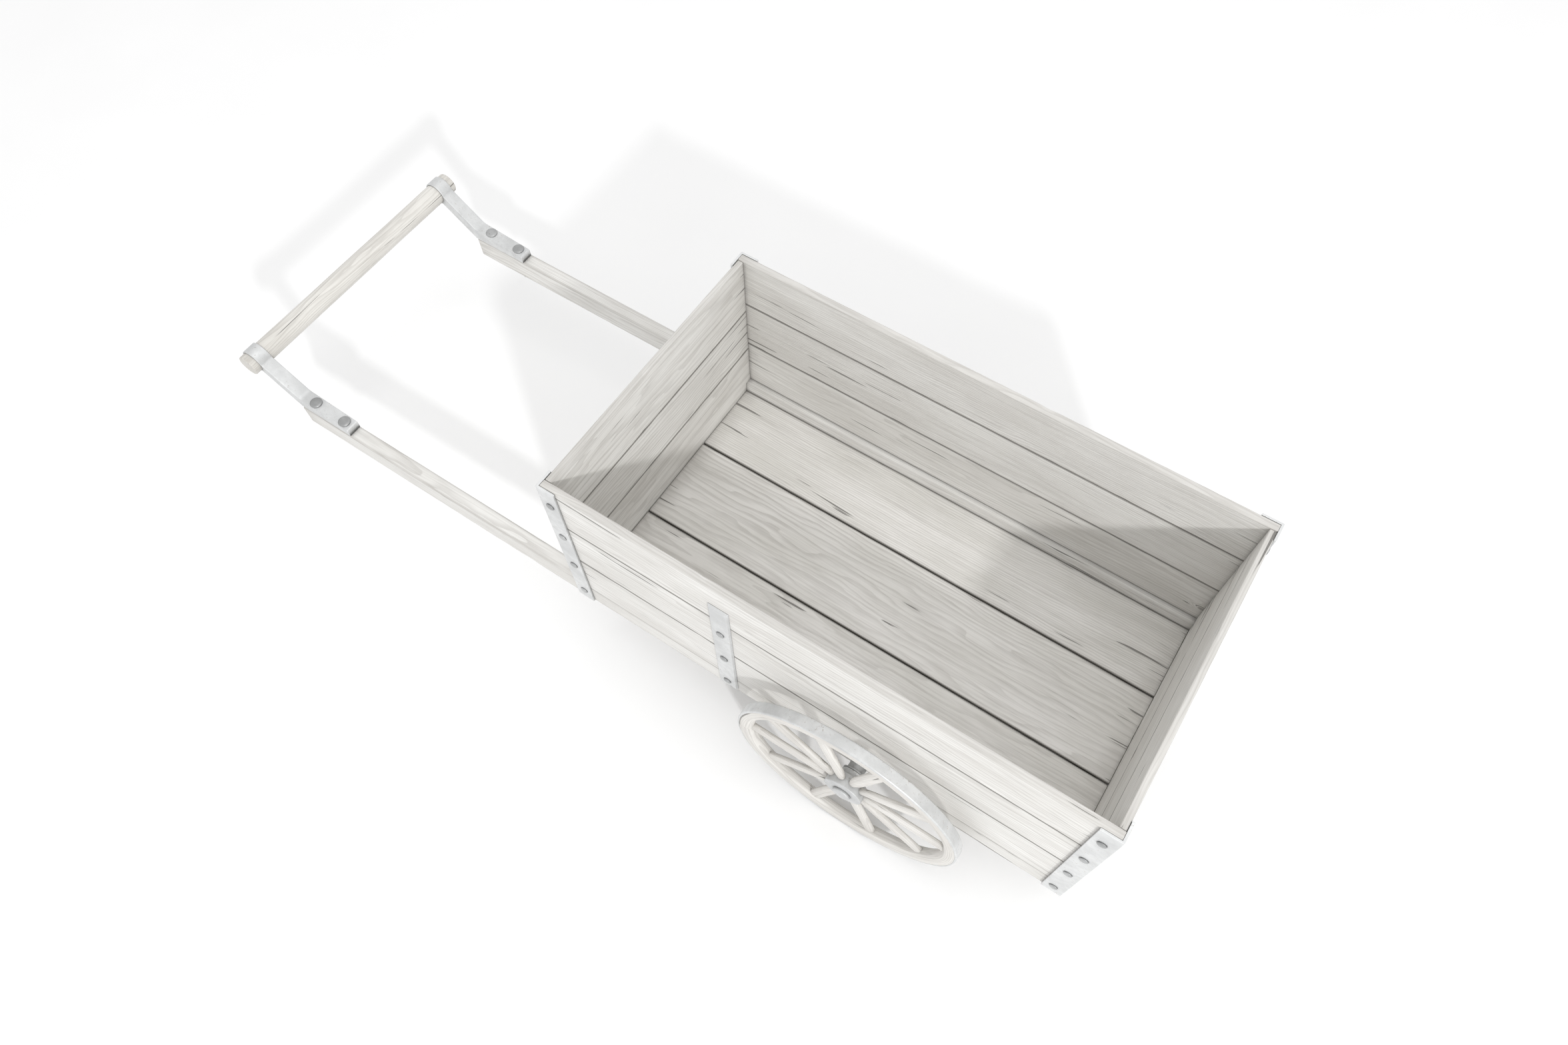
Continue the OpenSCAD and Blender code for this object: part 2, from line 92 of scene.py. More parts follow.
# ---------------------------------------------------------------- node helpers
class Tree:
    def __init__(self, name):
        self.mat = bpy.data.materials.new(name)
        self.mat.use_nodes = True
        self.nt = self.mat.node_tree
        self.nt.nodes.clear()
        self.out = self.n("ShaderNodeOutputMaterial")
        self.bsdf = self.n("ShaderNodeBsdfPrincipled")
        self.link(self.bsdf.outputs[0], self.out.inputs[0])

    def n(self, kind, **props):
        x = self.nt.nodes.new(kind)
        for k, v in props.items():
            setattr(x, k, v)
        return x

    def link(self, a, b):
        self.nt.links.new(a, b)

    def put(self, sock, v):
        if isinstance(v, bpy.types.NodeSocket):
            self.link(v, sock)
        else:
            sock.default_value = v

    def math(self, op, a, b=None, c=None, clamp=False):
        x = self.n("ShaderNodeMath", operation=op, use_clamp=clamp)
        self.put(x.inputs[0], a)
        if b is not None:
            self.put(x.inputs[1], b)
        if c is not None:
            self.put(x.inputs[2], c)
        return x.outputs[0]

    def vmath(self, op, a, b=None, s=None):
        x = self.n("ShaderNodeVectorMath", operation=op)
        self.put(x.inputs[0], a)
        if b is not None:
            self.put(x.inputs[1], b)
        if s is not None:
            self.put(x.inputs["Scale"], s)
        return x.outputs["Value" if op in ("LENGTH", "DOT_PRODUCT", "DISTANCE") else "Vector"]

    def noise(self, vec, scale, detail=3.0, rough=0.5, dist=0.0, color=False):
        x = self.n("ShaderNodeTexNoise")
        x.inputs["Scale"].default_value = scale
        x.inputs["Detail"].default_value = detail
        x.inputs["Roughness"].default_value = rough
        x.inputs["Distortion"].default_value = dist
        self.link(vec, x.inputs["Vector"])
        return x.outputs[1 if color else 0]

    def ramp(self, v, lo, hi, a=0.0, b=1.0, smooth=True):
        x = self.n("ShaderNodeMapRange", interpolation_type="SMOOTHSTEP" if smooth else "LINEAR")
        x.clamp = True if hasattr(x, "clamp") else None
        self.put(x.inputs[0], v)
        self.put(x.inputs[1], lo)
        self.put(x.inputs[2], hi)
        self.put(x.inputs[3], a)
        self.put(x.inputs[4], b)
        return x.outputs[0]

    def mix(self, f, a, b, blend="MIX"):
        x = self.n("ShaderNodeMix", data_type="RGBA", blend_type=blend)
        self.put(x.inputs[0], f)
        for s, v in ((x.inputs[6], a), (x.inputs[7], b)):
            if isinstance(v, bpy.types.NodeSocket):
                self.link(v, s)
            else:
                s.default_value = (*v[:3], 1)
        return x.outputs[2]

    def combine(self, x, y, z):
        c = self.n("ShaderNodeCombineXYZ")
        for s, v in zip(c.inputs, (x, y, z)):
            self.put(s, v)
        return c.outputs[0]

    def separate(self, v):
        s = self.n("ShaderNodeSeparateXYZ")
        self.link(v, s.inputs[0])
        return s.outputs[0], s.outputs[1], s.outputs[2]

    def bump(self, h, distance, strength=1.0, normal=None):
        x = self.n("ShaderNodeBump")
        x.inputs["Strength"].default_value = strength
        x.inputs["Distance"].default_value = distance
        self.link(h, x.inputs["Height"])
        if normal is not None:
            self.link(normal, x.inputs["Normal"])
        return x.outputs[0]


# How deep a point lies in a corner or beside another piece: 1 in the open, 0 shut in. The materials use it to paint
# shade into corners and between parts.
def openness(t, reach):
    x = t.n("ShaderNodeAmbientOcclusion", samples=6)
    x.inputs["Distance"].default_value = reach
    return x.outputs["AO"]


def srgb(r, g, b):
    def f(c):
        c /= 255.0
        return c / 12.92 if c <= 0.04045 else ((c + 0.055) / 1.055) ** 2.4
    return (f(r), f(g), f(b))


# Wood: attribute "grain" holds the place in the piece with the grain along its
# first axis, "rim" how far the point is from the ends, the long edges and the face.
def wood(name, pale, mid, dark, ring=0.0045, knots=True, rough=0.72, smooth=0.0, dirt=1.0):
    t = Tree(name)
    g = t.n("ShaderNodeAttribute", attribute_name="grain").outputs["Vector"]
    rim = t.n("ShaderNodeAttribute", attribute_name="rim").outputs["Vector"]
    end_d, edge_d, joint_d = t.separate(rim)
    gx, gy, gz = t.separate(g)

    # slow wander of the grain lines
    slow = t.combine(t.math("MULTIPLY", gx, 0.22), gy, gz)
    wander = t.noise(slow, 9.0, 2.0, 0.45, color=True)
    wander = t.vmath("SUBTRACT", wander, (0.5, 0.5, 0.5))
    p = t.vmath("ADD", g, t.vmath("SCALE", wander, s=0.030))

    # knots: one cell in three has one, the grain flows round it
    knot = None
    if knots:
        flat = t.combine(t.math("MULTIPLY", gx, 0.55), gy, t.math("MULTIPLY", gz, 0.05))
        v = t.n("ShaderNodeTexVoronoi", feature="F1")
        v.inputs["Scale"].default_value = 7.5
        v.inputs["Randomness"].default_value = 0.9
        t.link(flat, v.inputs["Vector"])
        dist, col = v.outputs["Distance"], v.outputs["Color"]
        cr, cg, cb = t.separate(col)
        has = t.math("GREATER_THAN", cr, 0.80)
        size = t.math("MULTIPLY_ADD", cg, 0.035, 0.035)
        d = t.math("DIVIDE", dist, size)
        near = t.math("MULTIPLY", has, t.math("POWER", 2.718, t.math("MULTIPLY", t.math("MULTIPLY", d, d), -0.28)))
        knot = t.math("MULTIPLY", has, t.ramp(d, 0.75, 1.05, 1.0, 0.0))
        px, py, pz = t.separate(p)
        p = t.combine(px, py, t.math("ADD", pz, t.math("MULTIPLY", near, 0.020)))

    px, py, pz = t.separate(p)
    # rings round an axis that runs along the piece
    rx = t.math("ADD", py, 0.013)
    rz = t.math("ADD", pz, 0.061)
    radius = t.math("SQRT", t.math("ADD", t.math("MULTIPLY", rx, rx), t.math("MULTIPLY", rz, rz)))
    wob = t.noise(t.combine(t.math("MULTIPLY", gx, 0.4), gy, gz), 26.0, 2.0, 0.5)
    sway = t.noise(t.combine(t.math("MULTIPLY", gx, 0.12), gy, gz), 55.0, 1.0, 0.5)
    turns = t.math("ADD", t.math("DIVIDE", radius, ring), t.math("MULTIPLY", wob, 1.3))
    turns = t.math("ADD", turns, t.math("MULTIPLY", sway, 1.6))
    saw = t.math("FRACT", turns)
    late = t.math("MULTIPLY", t.ramp(saw, 0.35, 0.93), t.ramp(saw, 0.95, 1.0, 1.0, 0.0))

    # fibres: long thin streaks
    fib1 = t.noise(t.combine(t.math("MULTIPLY", px, 0.035), py, pz), 900.0, 2.0, 0.6)
    fib2 = t.noise(t.combine(t.math("MULTIPLY", px, 0.02), py, pz), 260.0, 3.0, 0.6)
    # dry checks along the grain, more of them near the ends
    chk = t.noise(t.combine(t.math("MULTIPLY", px, 0.030), py, pz), 120.0, 2.0, 0.5)
    open_at = t.ramp(end_d, 0.0, 0.09, 0.645, 0.705)
    check = t.ramp(chk, open_at, t.math("ADD", open_at, 0.030))
    sawn = t.ramp(end_d, 0.0004, 0.0016, 1.0, 0.0)
    angle = t.math("ARCTAN2", rx, rz)
    ray = t.noise(t.combine(t.math("MULTIPLY", angle, 1.1), t.math("MULTIPLY", radius, 0.35), 0.37), 46.0, 1.0, 0.4)
    ray = t.math("MULTIPLY", t.ramp(ray, 0.665, 0.700), 0.55)
    check = t.math("ADD", t.math("MULTIPLY", check, t.math("SUBTRACT", 1.0, sawn)), t.math("MULTIPLY", ray, sawn))
    # weather: patches, grey ends, dirt in the edges; painted shade in the crevices below
    patch = t.noise(t.combine(t.math("MULTIPLY", gx, 0.35), gy, gz), 11.0, 4.0, 0.6)
    tone = t.noise(slow, 3.0, 1.0, 0.5)

    col = t.mix(t.ramp(patch, 0.32, 0.70), mid, pale)
    col = t.mix(t.math("MULTIPLY", late, t.ramp(tone, 0.3, 0.7, 0.22, 0.46)), col, dark)
    col = t.mix(t.ramp(fib2, 0.42, 0.72, 0.0, 0.34), col, dark)
    col = t.mix(t.ramp(fib1, 0.35, 0.75, 0.0, 0.30), col, pale)
    col = t.mix(t.ramp(tone, 0.3, 0.75, 0.0, 0.22), col, mid)
    grime = t.math("MULTIPLY", t.ramp(edge_d, 0.0, 0.0055, 1.0, 0.0), t.ramp(patch, 0.35, 0.6, 0.35, 0.9))
    col = t.mix(t.math("MULTIPLY", grime, 0.55 * dirt), col, dark)
    ends = t.math("MULTIPLY", t.ramp(end_d, 0.0, 0.045, 1.0, 0.0), t.ramp(patch, 0.3, 0.65, 0.2, 0.8))
    col = t.mix(t.math("MULTIPLY", ends, 0.40 * dirt), col, dark)
    seam = t.ramp(joint_d, 0.0006, 0.0034, 1.0, 0.0)
    col = t.mix(t.math("MULTIPLY", seam, 0.72), col, tuple(c * 0.42 for c in dark))
    if knot is not None:
        col = t.mix(t.math("MULTIPLY", knot, 0.62), col, tuple(c * 0.55 for c in dark))
    col = t.mix(t.math("MULTIPLY", check, 0.75), col, tuple(c * 0.30 for c in dark))
    # painted shade: base colour darkened where corners and neighbouring pieces shut the point in (ambient occlusion),
    # scaled a little by the patches
    painted_crevice_shade = t.ramp(openness(t, 0.012), 0.25, 0.92, 0.62, 0.0)
    col = t.mix(t.math("MULTIPLY", painted_crevice_shade, t.ramp(patch, 0.3, 0.6, 0.7, 1.0)), col, tuple(c * 0.5 for c in dark))
    t.link(col, t.bsdf.inputs["Base Color"])

    r = t.math("ADD", rough, t.math("MULTIPLY", t.math("SUBTRACT", fib2, 0.5), 0.25))
    r = t.math("SUBTRACT", r, t.math("MULTIPLY", late, 0.07), clamp=True)
    t.link(r, t.bsdf.inputs["Roughness"])
    t.bsdf.inputs["Specular IOR Level"].default_value = 0.35 + 0.1 * smooth

    h = t.math("ADD", t.math("MULTIPLY", late, 0.55), t.math("MULTIPLY", fib2, 0.5))
    h = t.math("ADD", h, t.math("MULTIPLY", fib1, 0.25))
    h = t.math("SUBTRACT", h, t.math("MULTIPLY", check, 2.2))
    if knot is not None:
        h = t.math("ADD", h, t.math("MULTIPLY", knot, 0.5))
    nrm = t.bump(h, 0.00042 * (1.0 - 0.6 * smooth), 0.75)
    t.link(nrm, t.bsdf.inputs["Normal"])
    return t.mat


def iron(name, base, dark, rust, rough=0.52, metal=0.55, pit=1.0, hammered=0.0, worn=0.35, coords="Object"):
    t = Tree(name)
    p = t.n("ShaderNodeTexCoord").outputs[coords]
    big = t.noise(p, 14.0, 4.0, 0.6)
    mid = t.noise(p, 70.0, 4.0, 0.62)
    fine = t.noise(p, 900.0, 3.0, 0.6)
    spot = t.noise(p, 230.0, 3.0, 0.55)
    col = t.mix(t.ramp(big, 0.32, 0.68), dark, base)
    col = t.mix(t.ramp(mid, 0.40, 0.70, 0.0, 0.45), col, dark)
    col = t.mix(t.ramp(fine, 0.35, 0.8, 0.0, 0.30), col, base)
    stain = t.math("MULTIPLY", t.ramp(spot, 0.60, 0.74), t.ramp(big, 0.40, 0.62, 0.15, 1.0))
    col = t.mix(t.math("MULTIPLY", stain, 0.55), col, rust)
    point = t.n("ShaderNodeNewGeometry").outputs["Pointiness"]
    col = t.mix(t.math("MULTIPLY", t.ramp(point, 0.52, 0.60), worn), col, tuple(min(1.0, c * 1.22) for c in base))
    # painted shade: base colour darkened where corners and neighbouring pieces shut the point in (ambient occlusion)
    painted_crevice_shade = t.ramp(openness(t, 0.010), 0.25, 0.92, 0.75, 0.0)
    col = t.mix(painted_crevice_shade, col, tuple(c * 0.28 for c in dark))
    t.link(col, t.bsdf.inputs["Base Color"])
    r = t.math("ADD", rough, t.math("MULTIPLY", t.math("SUBTRACT", mid, 0.5), 0.35))
    r = t.math("ADD", r, t.math("MULTIPLY", stain, 0.2), clamp=True)
    t.link(r, t.bsdf.inputs["Roughness"])
    t.bsdf.inputs["Metallic"].default_value = metal
    h = t.math("ADD", t.math("MULTIPLY", mid, 0.5), t.math("MULTIPLY", fine, 0.18 * pit))
    h = t.math("SUBTRACT", h, t.math("MULTIPLY", t.ramp(spot, 0.62, 0.72), 0.5 * pit))
    if hammered:
        v = t.n("ShaderNodeTexVoronoi", feature="SMOOTH_F1")
        v.inputs["Scale"].default_value = 120.0
        t.link(p, v.inputs["Vector"])
        h = t.math("ADD", h, t.math("MULTIPLY", v.outputs["Distance"], hammered))
    t.link(t.bump(h, 0.00035, 0.7), t.bsdf.inputs["Normal"])
    return t.mat


PALE, MID, DARK = srgb(232, 231, 228), srgb(216, 214, 210), srgb(158, 154, 148)
M = {
    "board": wood("weathered_board", PALE, MID, DARK),
    "floor": wood("weathered_floor", srgb(231, 229, 226), srgb(214, 212, 207), srgb(156, 152, 146), dirt=1.2),
    "shaft": wood("shaft_wood", PALE, MID, DARK, ring=0.0036, knots=False),
    "bearer": wood("sawn_wood", srgb(212, 209, 203), srgb(192, 188, 181), srgb(146, 140, 132), ring=0.005, knots=False),
    "turned": wood("turned_wood", srgb(226, 224, 219), srgb(207, 204, 198), srgb(156, 151, 144), ring=0.003, knots=False, rough=0.5, smooth=1.0, dirt=0.6),
    "wheel": wood("wheel_wood", srgb(228, 226, 222), srgb(209, 206, 201), srgb(156, 152, 146), ring=0.0028, knots=False, rough=0.62, smooth=0.6, dirt=0.7),
    "iron": iron("dull_iron", srgb(222, 223, 223), srgb(199, 200, 200), srgb(156, 144, 133)),
    "forged": iron("forged_iron", srgb(220, 221, 221), srgb(197, 198, 198), srgb(154, 143, 132), rough=0.5, hammered=0.35),
    "cast": iron("cast_iron", srgb(210, 211, 211), srgb(184, 185, 185), srgb(150, 138, 127), rough=0.58, pit=1.6),
    "tyre": iron("tyre_iron", srgb(218, 219, 219), srgb(193, 194, 194), srgb(152, 139, 127), rough=0.46),
    "steel": iron("fastener_steel", srgb(184, 185, 185), srgb(150, 151, 151), srgb(128, 116, 105), rough=0.42, metal=0.7),
    "bronze": iron("bush_bronze", srgb(196, 170, 124), srgb(160, 134, 92), srgb(120, 104, 76), rough=0.4, metal=0.8),
}

REPLACED = set()
rng = random.Random(7)


def add(bm, name, mat, body, reps, weighted=True, mapping=None, smooth=True):
    """Makes the piece: mapping(co, face centre) gives the grain and rim vectors of a corner."""
    bmesh.ops.recalc_face_normals(bm, faces=bm.faces)
    me = bpy.data.meshes.new(name)
    bm.to_mesh(me)
    bm.free()
    me.materials.append(mat)
    me.polygons.foreach_set("use_smooth", [smooth] * len(me.polygons))
    if mapping is not None:
        g = me.attributes.new("grain", "FLOAT_VECTOR", "CORNER")
        r = me.attributes.new("rim", "FLOAT_VECTOR", "CORNER")
        gv, rv = np.zeros((len(me.loops), 3), np.float32), np.zeros((len(me.loops), 3), np.float32)
        for p in me.polygons:
            for li in p.loop_indices:
                gv[li], rv[li] = mapping(me.vertices[me.loops[li].vertex_index].co, p.center)
        g.data.foreach_set("vector", gv.ravel())
        r.data.foreach_set("vector", rv.ravel())
    ob = bpy.data.objects.new(name, me)
    scene.collection.objects.link(ob)
    if weighted:
        w = ob.modifiers.new("even", "WEIGHTED_NORMAL")
        w.keep_sharp = True
        w.weight = 60
    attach(ob, body)
    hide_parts(*reps)
    REPLACED.update(reps)
    return ob


def cut(bm, axis, stations):
    for v in stations:
        co, no = Vector((0, 0, 0)), Vector((0, 0, 0))
        co[axis], no[axis] = v, 1.0
        bmesh.ops.bisect_plane(bm, geom=bm.verts[:] + bm.edges[:] + bm.faces[:], dist=2e-5, plane_co=co, plane_no=no)


def extrude_outline(outline, t0, t1):
    """A prism in local (L, W, T) from points in (L, W)."""
    bm = bmesh.new()
    a = [bm.verts.new((x, y, t0)) for x, y in outline]
    b = [bm.verts.new((x, y, t1)) for x, y in outline]
    bm.faces.new(list(reversed(a)))
    bm.faces.new(b)
    for i in range(len(a)):
        j = (i + 1) % len(a)
        bm.faces.new((a[i], a[j], b[j], b[i]))
    bmesh.ops.recalc_face_normals(bm, faces=bm.faces)
    return bm


def bevel_where(bm, radius, pick, segments=2, angle=30.0):
    edges = [e for e in bm.edges if len(e.link_faces) == 2 and math.degrees(e.calc_face_angle(0)) > angle and pick(e)]
    if edges:
        bmesh.ops.bevel(bm, geom=edges, offset=radius, segments=segments, profile=0.5, affect="EDGES", clamp_overlap=True, offset_type="OFFSET")


def timber(node, mat, axes, outline=None, soft=1.2, gap=(0.0, 0.0), joints=(False, False), big=None, big_r=2.0, step=0.010, nicks=5, wave=0.00022, body="frame", wear=1.0):
    """A board or beam in its node's box. axes = (along the grain, across, through), as row axes."""
    lo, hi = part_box(node)
    c = (lo + hi) / 2
    half = [(hi[a] - lo[a]) / 2 for a in axes]
    L, W, T = half
    g0, g1 = gap[0] * MM, gap[1] * MM
    if outline is None:
        outline = [(-L, -W + g0), (L, -W + g0), (L, W - g1), (-L, W - g1)]
    else:
        outline = [(x - c[axes[0]], y - c[axes[1]]) for x, y in outline]
        top = max(p[1] for p in outline)
        outline = [(x, y - g1 if y > top - 1e-6 else y) for x, y in outline]
    bm = extrude_outline(outline, -T, T)
    if big is not None:
        bevel_where(bm, big_r * MM, lambda e: big((e.verts[0].co + e.verts[1].co) / 2, L, W, T) and abs((e.verts[0].co - e.verts[1].co).normalized().x) > 0.9, 3, 60)
    bevel_where(bm, soft * MM, lambda e: True, 2, 60)
    W0 = W
    n = max(2, int(round(2 * L / step)))
    cut(bm, 0, [-L + 0.004, L - 0.004] + [-L + 2 * L * i / n for i in range(1, n)])
    k = max(2, int(round(2 * W / 0.022)))
    cut(bm, 1, [-W + 0.0035, W - 0.0035] + [-W + 2 * W * i / k for i in range(1, k)])
    if T > 0.012:
        cut(bm, 2, [-T + 0.0035, 0, T - 0.0035])
    r = random.Random(node)
    off = Vector((r.uniform(-9, 9), r.uniform(-0.5, 0.5), r.uniform(-0.5, 0.5)))
    dents = [(r.uniform(-L, L), r.choice((-1, 1)), r.choice((-1, 1)), r.uniform(0.004, 0.016), r.uniform(0.4, 1.1) * MM * wear) for _ in range(nicks)]
    ys = [p[1] for p in outline]
    for v in bm.verts:
        x, y, z = v.co
        ey, ez = (W - g1 - y if y > 0 else W - g0 + y), T - abs(z)
        sy, sz = (1 if y > 0 else -1), (1 if z > 0 else -1)
        q = Vector((x * 14, y * 14, z * 14)) + off
        if ez < 0.0006 and ey > 0.003 and L - abs(x) > 0.003:
            v.co.z -= sz * wave * (0.5 + 0.5 * noise.noise(q * 1.3))
        if ey < 0.0032 and ez < 0.0032:
            d = wear * 0.35 * MM * max(0.0, noise.noise(Vector((x * 45, sy * 3, sz * 5)) + off) + 0.15)
            for px, py, pz, w, dep in dents:
                if py == sy and pz == sz:
                    d += dep * math.exp(-((x - px) / w) ** 2)
            v.co.y -= sy * d * 0.7
            v.co.z -= sz * d * 0.7
        elif ey < 0.0006 and L - abs(x) > 0.003:
            v.co.y -= sy * wave * 0.6 * (0.5 + 0.5 * noise.noise(q * 1.7))
        if L - abs(x) < 0.0005:
            v.co.x -= (1 if x > 0 else -1) * 0.25 * MM * (0.5 + 0.5 * noise.noise(Vector((y * 60, z * 60, x)) + off))
    local = {}
    inv = [0, 0, 0]
    for i, a in enumerate(axes):
        inv[a] = i
    for v in bm.verts:
        p = v.co.copy()
        v.co = Vector([c[a] + p[inv[a]] for a in range(3)])

    def mapping(co, _):
        p = [co[a] - c[a] for a in axes]
        end = L - abs(p[0])
        edge = min(W - abs(p[1]) + max(0, T - abs(p[2]) - 0.001), 0.05)
        joint = min([0.05] + [W - g0 + p[1]] * joints[0] + [W - g1 - p[1]] * joints[1])
        return (p[0] + off.x, p[1] + off.y, p[2] + off.z), (end, max(edge, 0), joint)

    return add(bm, "board_" + node, mat, body, [node], mapping=mapping)


# ---- boards
for side in ("left", "right"):
    s_out = 1 if side == "left" else -1
    for lvl in ("bottom", "middle", "top"):
        node = "side_plank_%s_%s" % (side, lvl)
        top = lvl == "top"
        timber(node, M["board"], (0, 2, 1), joints=(True, not top), gap=(0.35 if lvl == "bottom" else 0.45, 0.0 if top else 0.45), big=(lambda m, L, W, T: m.y > W - 1e-4) if top else None, big_r=2.2)
    timber("shaft_" + side, M["shaft"], (0, 2, 1), soft=1.6, joints=(False, False), big=lambda m, L, W, T: m.y > W - 1e-4, big_r=3.0, nicks=9)
for end in ("rear", "front"):
    for lvl in ("bottom", "middle", "top"):
        node = "end_plank_%s_%s" % (end, lvl)
        outline = None
        if lvl == "bottom":
            lo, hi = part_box(node)
            yi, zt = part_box("shaft_left")[0].y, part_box("shaft_left")[1].z
            outline = [(lo.y, zt), (-yi, zt), (-yi, lo.z), (yi, lo.z), (yi, zt), (hi.y, zt), (hi.y, hi.z), (lo.y, hi.z)]
        timber(node, M["board"], (1, 2, 0), outline=outline, joints=(lvl != "bottom", lvl != "top"), gap=(0.0 if lvl == "bottom" else 0.45, 0.0 if lvl == "top" else 0.45), big=(lambda m, L, W, T: m.y > W - 1e-4) if lvl == "top" else None, big_r=2.2)
for n in ("left", "middle", "right"):
    timber("floor_plank_" + n, M["floor"], (0, 1, 2), joints=(True, True), nicks=8, wave=0.0004)
for n in ("rear", "middle", "axle", "front"):
    node = "floor_bearer_" + n
    lo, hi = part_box(node)
    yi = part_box("shaft_left")[0].y
    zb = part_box("shaft_left")[0].z + 4 * MM
    zt = zb + 8 * MM
    timber(node, M["bearer"], (1, 2, 0), outline=[(-yi, lo.z), (yi, lo.z), (yi, zb), (hi.y, zb), (hi.y, zt), (yi, zt), (yi, hi.z), (-yi, hi.z), (-yi, zt), (lo.y, zt), (lo.y, zb), (-yi, zb)], wear=0.5)

# ---------------------------------------------------------------- turned and round pieces
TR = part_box("side_plank_right_top")[0].x
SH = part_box("shaft_right")
SHAFT_TOP, SHAFT_BOT = SH[1].z, SH[0].z
Y_OUT, Y_IN = -SH[0].y, -SH[1].y


def arc(cx, cy, r, a0, a1, n):
    return [(cx + r * math.cos(math.radians(a0 + (a1 - a0) * i / n)), cy + r * math.sin(math.radians(a0 + (a1 - a0) * i / n))) for i in range(n + 1)]


def spin(bm, profile, place, seg=96, closed=True, shape=None):
    """Turns (r, h) points round an axis. place(r cos, r sin, h) gives the point. Radius 0 makes a pole."""
    rings = []
    for r, h in profile:
        if r < 1e-7:
            rings.append([bm.verts.new(place(0, 0, h))])
        else:
            ring = []
            for i in range(seg):
                a = 2 * math.pi * i / seg
                rr = r if shape is None else shape(r, h, a)
                ring.append(bm.verts.new(place(rr * math.cos(a), rr * math.sin(a), h)))
            rings.append(ring)
    pairs = list(zip(rings, rings[1:]))
    if closed:
        pairs.append((rings[-1], rings[0]))
    for a, b in pairs:
        for i in range(seg):
            j = (i + 1) % seg
            if len(a) == 1 and len(b) == 1:
                continue
            if len(a) == 1:
                bm.faces.new((a[0], b[i], b[j]))
            elif len(b) == 1:
                bm.faces.new((a[i], a[j], b[0]))
            else:
                bm.faces.new((a[i], a[j], b[j], b[i]))


def along(axis_point, direction):
    """place() for spin: h along direction from axis_point."""
    d = Vector(direction).normalized()
    u = d.orthogonal().normalized()
    if abs(d.y) > 0.9:
        u = Vector((1, 0, 0))
    v = d.cross(u)
    o = Vector(axis_point)
    return lambda x, y, h: o + u * x + v * y + d * h


# handle bar
lo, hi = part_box("handle_bar")
bar_c = (lo + hi) / 2
bar_r, bar_h = (hi.z - lo.z) / 2, (hi.y - lo.y) / 2
bm = bmesh.new()
prof = [(0, -bar_h), (bar_r * 0.35, -bar_h), (bar_r * 0.7, -bar_h)]
prof += [(bar_r - 2.4 * MM + 2.4 * MM * math.sin(math.radians(a)), -bar_h + 2.4 * MM * (1 - math.cos(math.radians(a)))) for a in range(0, 91, 15)]
n = 58
h0 = bar_h - 2.4 * MM
prof += [(bar_r, -h0 + 2 * h0 * i / n) for i in range(1, n)]
prof += [(r, -h) for r, h in reversed(prof[:10])]


def bar_shape(r, h, a):
    grip = 0.30 * MM * math.exp(-((abs(h) - 0.12) / 0.07) ** 2) if abs(h) < Y_IN else 0
    free = 1.0 if abs(h) < Y_IN - 0.004 else 0.0
    return r - free * (grip + 0.12 * MM * (0.5 + 0.5 * noise.noise(Vector((math.cos(a), math.sin(a), h * 30)))))


spin(bm, prof, along(bar_c, (0, 1, 0)), 72, closed=False, shape=bar_shape)
add(bm, "turned_bar", M["turned"], "frame", ["handle_bar"], mapping=lambda co, _: ((co.y + 3.1, co.x - bar_c.x, co.z - bar_c.z), (bar_h - abs(co.y), 0.03, 0.05)))

# handle brackets: the outline of the forged iron in X and Z, then its rounded edges
foot_front, foot_t, foot_slope = TR - 579.6 * MM, 17.5 * MM, math.radians(5)
arm_s, arm_t, arm_rise, bend_r = math.radians(39), 26.5 * MM, 18.6 * MM, 20 * MM
top0 = SHAFT_TOP + foot_t


def foot_top(x):
    return top0 + (foot_front - 4 * MM - x) * math.tan(foot_slope)


bc = Vector((bar_c.x, bar_c.z))
ad, an = Vector((math.cos(arm_s), -math.sin(arm_s))), Vector((math.sin(arm_s), math.cos(arm_s)))
hi_off = an.dot(bc) + arm_rise
lo_off = hi_off - arm_t
tf = math.tan(foot_slope)
bend_x = (hi_off - an.y * (top0 + (foot_front - 4 * MM) * tf)) / (an.x - an.y * tf)
bend_p = Vector((bend_x, foot_top(bend_x)))
heel_x = (lo_off - an.y * SHAFT_TOP) / an.x
bu, bv = -ad, Vector((math.cos(foot_slope), -math.sin(foot_slope)))
bh = (math.pi - arm_s + foot_slope) / 2
bl = bend_r / math.tan(bh)
bmid = (bu + bv).normalized()
bcen = bend_p + bmid * (bend_r / math.sin(bh))
EYE = 25.2 * MM


def circle_from(c, r, a0, a1, n):
    return [Vector((c.x + r * math.cos(a0 + (a1 - a0) * i / n), c.y + r * math.sin(a0 + (a1 - a0) * i / n))) for i in range(n + 1)]


# where the arm's two faces meet the eye's circle
off_hi, off_lo = arm_rise, arm_rise - arm_t
base = math.atan2(ad.y, ad.x)
a_hi = base + math.asin(off_hi / EYE)
a_lo = base + math.asin(off_lo / EYE)
p_hi = bc + an * off_hi + ad * math.sqrt(EYE ** 2 - off_hi ** 2)
